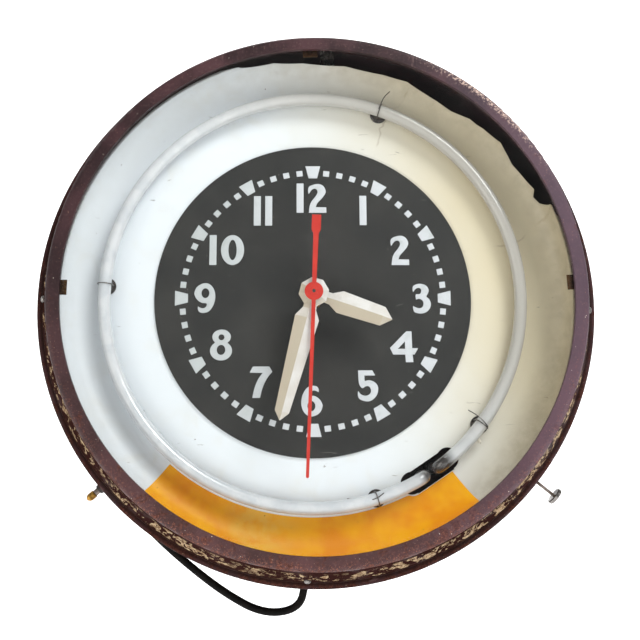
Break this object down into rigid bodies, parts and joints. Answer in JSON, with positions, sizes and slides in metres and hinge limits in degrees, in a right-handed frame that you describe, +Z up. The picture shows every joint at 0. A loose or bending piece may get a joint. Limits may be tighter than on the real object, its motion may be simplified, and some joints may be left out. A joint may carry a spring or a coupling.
{
  "type": "neon advertising wall clock",
  "caption": "Round wall clock with a ring-shaped neon tube round a numbered black dial, blank yellow sign panel, steel case, mains switch and hand-setting rod.",
  "frame": {"origin": "centre of the case's rear rim, on the wall plane", "axes": "+Z up, -Y out of the face towards the viewer, +Y into the wall, +X to the viewer's right"},
  "size_m": [0.54, 0.164, 0.566],
  "materials": {
    "case_paint": "worn, rust-flecked enamel on sheet steel",
    "bezel_paint": "aged purple-brown paint with rust",
    "lens_glass": "clear flat glass",
    "brass": "aged",
    "steel": "dull zinc-plated",
    "reflector_enamel": "gloss white with a plain yellow panel",
    "dial_paint": "satin black with white hour figures",
    "tube_glass": "milky unlit neon tube",
    "rubber": "black rubber",
    "porcelain": "glazed",
    "hand_paint": "off-white enamel",
    "red_paint": "red enamel",
    "aluminium": "satin",
    "iron": "varnished laminations",
    "coil_wrap": "varnished wrap",
    "moulding": "black phenolic moulding",
    "wire_cover": "cloth-covered wire"
  },
  "bodies": {
    "case": {"case_body": "case_paint", "bezel_ring": "bezel_paint", "glass_lens": "lens_glass", "glass_clips": "brass", "case_screws": "steel", "reflector_brackets": "steel", "reflector": "reflector_enamel", "dial_plate": "dial_paint", "neon_tube": "tube_glass", "electrode_boots": "rubber", "tube_supports": "porcelain", "tie_wires": "steel", "front_plate": "brass", "rear_plate": "brass", "plate_pillars": "brass", "pillar_screws": "steel", "centre_bush": "brass", "centre_nut": "brass", "rotor_capsule": "aluminium", "field_core": "iron", "motor_coil": "coil_wrap", "motor_posts": "brass", "motor_screws": "steel", "set_bushing": "brass", "rod_bearing": "brass", "switch_body": "moulding", "switch_nut": "steel", "back_cover": "case_paint", "cover_tabs": "steel", "cover_screws": "steel", "hanger_bracket": "steel", "transformer_core": "iron", "transformer_coil": "coil_wrap", "transformer_strap": "steel", "hv_insulators": "porcelain", "hv_leads": "rubber", "power_cord": "rubber", "cord_grommet": "rubber", "plug_body": "moulding", "plug_blades": "brass", "wiring": "wire_cover"},
    "seconds": {"second_arbor": "steel", "second_hand": "red_paint"},
    "going": {"going_arbor": "steel", "going_wheel": "brass"},
    "minutes": {"minute_pipe": "brass", "centre_wheel": "brass", "minute_hand": "hand_paint"},
    "motion": {"motion_arbor": "steel", "minute_wheel": "brass", "friction_wheel": "brass"},
    "hours": {"hour_pipe": "brass", "hour_wheel": "brass", "hour_hand": "hand_paint"},
    "sleeve": {"set_sleeve": "brass"},
    "rod": {"set_rod": "steel", "set_roller": "rubber", "set_knob": "steel"},
    "switch": {"switch_stem": "steel", "switch_knob": "brass"}
  },
  "joints": [
    {"name": "second_hand_turn", "type": "hinge", "parent": "case", "child": "seconds", "pos_m": [-0.0045, -0.12, 0.0015], "axis": [0, 1, 0], "continuous": true},
    {"name": "going_turn", "type": "hinge", "parent": "case", "child": "going", "pos_m": [-0.03221, -0.09, 0.0175], "axis": [0, 1, 0], "continuous": true},
    {"name": "minute_hand_turn", "type": "hinge", "parent": "case", "child": "minutes", "pos_m": [-0.0045, -0.12, 0.0015], "axis": [0, 1, 0], "continuous": true},
    {"name": "motion_turn", "type": "hinge", "parent": "case", "child": "motion", "pos_m": [0.02192, -0.09, -0.0199], "axis": [0, 1, 0], "continuous": true},
    {"name": "hour_hand_turn", "type": "hinge", "parent": "case", "child": "hours", "pos_m": [-0.0045, -0.12, 0.0015], "axis": [0, 1, 0], "continuous": true},
    {"name": "set_push", "type": "slide", "parent": "case", "child": "sleeve", "axis": [-0.7771, 0, 0.6293], "range_m": [0, 0.004]},
    {"name": "set_turn", "type": "hinge", "parent": "sleeve", "child": "rod", "pos_m": [0.19756, -0.088, -0.16212], "axis": [0.7771, 0, -0.6293], "continuous": true},
    {"name": "switch_turn", "type": "hinge", "parent": "case", "child": "switch", "pos_m": [-0.21291, -0.088, -0.18185], "axis": [-0.7604, 0, -0.6494], "continuous": true}
  ],
  "couplings": [
    {"joint": "going_turn", "follows": "second_hand_turn", "ratio": -0.13333},
    {"joint": "minute_hand_turn", "follows": "second_hand_turn", "ratio": 0.016667},
    {"joint": "motion_turn", "follows": "second_hand_turn", "ratio": -0.0055556},
    {"joint": "hour_hand_turn", "follows": "second_hand_turn", "ratio": 0.0013889}
  ]
}
